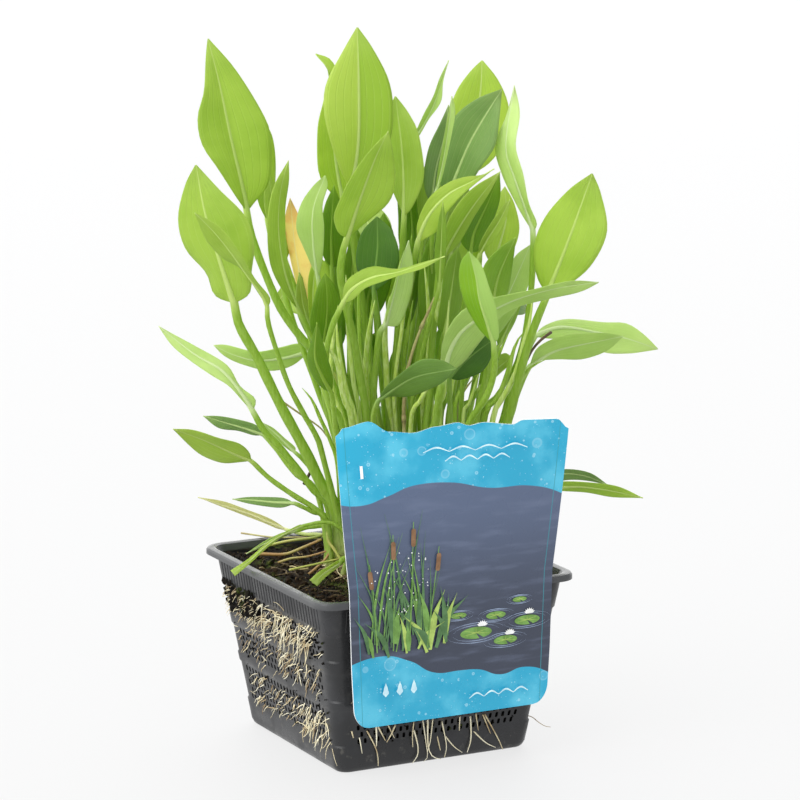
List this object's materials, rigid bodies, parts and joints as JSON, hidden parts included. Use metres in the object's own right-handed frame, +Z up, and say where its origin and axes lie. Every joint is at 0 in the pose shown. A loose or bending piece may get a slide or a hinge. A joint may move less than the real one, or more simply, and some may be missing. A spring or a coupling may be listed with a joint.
{
  "type": "potted water plantain",
  "caption": "Potted water plantain: upright long-stalked leaves in a square perforated pond basket of soil, with a picture card hooked over the rim.",
  "frame": {"origin": "middle of the basket's underside, where the pot stands", "axes": "+Z up; the basket's sides lie along X and Y; -Y is the side that the card hangs on; the picture looks from about 27 degrees round toward -X from -Y"},
  "size_m": [0.2296, 0.2056, 0.327],
  "materials": {
    "black_plastic": "satin",
    "soil": "matte",
    "corm": "satin",
    "leaf_fresh": "satin",
    "leaf_pale": "satin",
    "leaf_deep": "satin",
    "leaf_blue": "satin",
    "leaf_yellow": "satin",
    "leaf_dry": "matte",
    "old_stalk": "matte",
    "printed_card": "satin"
  },
  "bodies": {
    "root": {"basket": "black_plastic", "crown_left": "corm", "crown_middle": "corm", "crown_right": "corm", "label_card": "printed_card", "leaf_arched_pale": "leaf_pale", "leaf_back_left": "leaf_blue", "leaf_back_lime": "leaf_fresh", "leaf_back_low": "leaf_deep", "leaf_back_one": "leaf_fresh", "leaf_back_right": "leaf_blue", "leaf_back_three": "leaf_deep", "leaf_back_top": "leaf_fresh", "leaf_back_two": "leaf_blue", "leaf_bluish": "leaf_blue", "leaf_centre_dark": "leaf_deep", "leaf_centre_front": "leaf_fresh", "leaf_centre_grey": "leaf_pale", "leaf_curl_right": "leaf_fresh", "leaf_dark_top": "leaf_blue", "leaf_dying": "leaf_dry", "leaf_edge_pale": "leaf_pale", "leaf_folded_young": "leaf_fresh", "leaf_front_arch": "leaf_pale", "leaf_front_bright": "leaf_pale", "leaf_front_dark": "leaf_deep", "leaf_left_behind": "leaf_deep", "leaf_left_blue": "leaf_blue", "leaf_left_broad": "leaf_fresh", "leaf_left_dusky": "leaf_blue", "leaf_left_front_low": "leaf_fresh", "leaf_left_low": "leaf_deep", "leaf_left_narrow": "leaf_fresh", "leaf_left_shade": "leaf_deep", "leaf_left_small": "leaf_fresh", "leaf_left_spotted": "leaf_fresh", "leaf_left_tall": "leaf_fresh", "leaf_left_wisp": "leaf_fresh", "leaf_low_left": "leaf_fresh", "leaf_mid_dark": "leaf_deep", "leaf_mid_narrow": "leaf_fresh", "leaf_mid_right": "leaf_deep", "leaf_right_arch": "leaf_fresh", "leaf_right_big": "leaf_fresh", "leaf_right_far": "leaf_fresh", "leaf_right_hidden": "leaf_fresh", "leaf_right_low": "leaf_blue", "leaf_right_lowest": "leaf_fresh", "leaf_right_pale": "leaf_pale", "leaf_right_shade": "leaf_deep", "leaf_slim_middle": "leaf_pale", "leaf_top": "leaf_fresh", "leaf_top_curled": "leaf_fresh", "leaf_top_right": "leaf_fresh", "leaf_yellow": "leaf_yellow", "old_stalk": "old_stalk", "soil": "soil", "strap_cut_short": "leaf_pale", "strap_on_soil": "leaf_pale", "strap_over_rim": "leaf_fresh"}
  },
  "joints": []
}
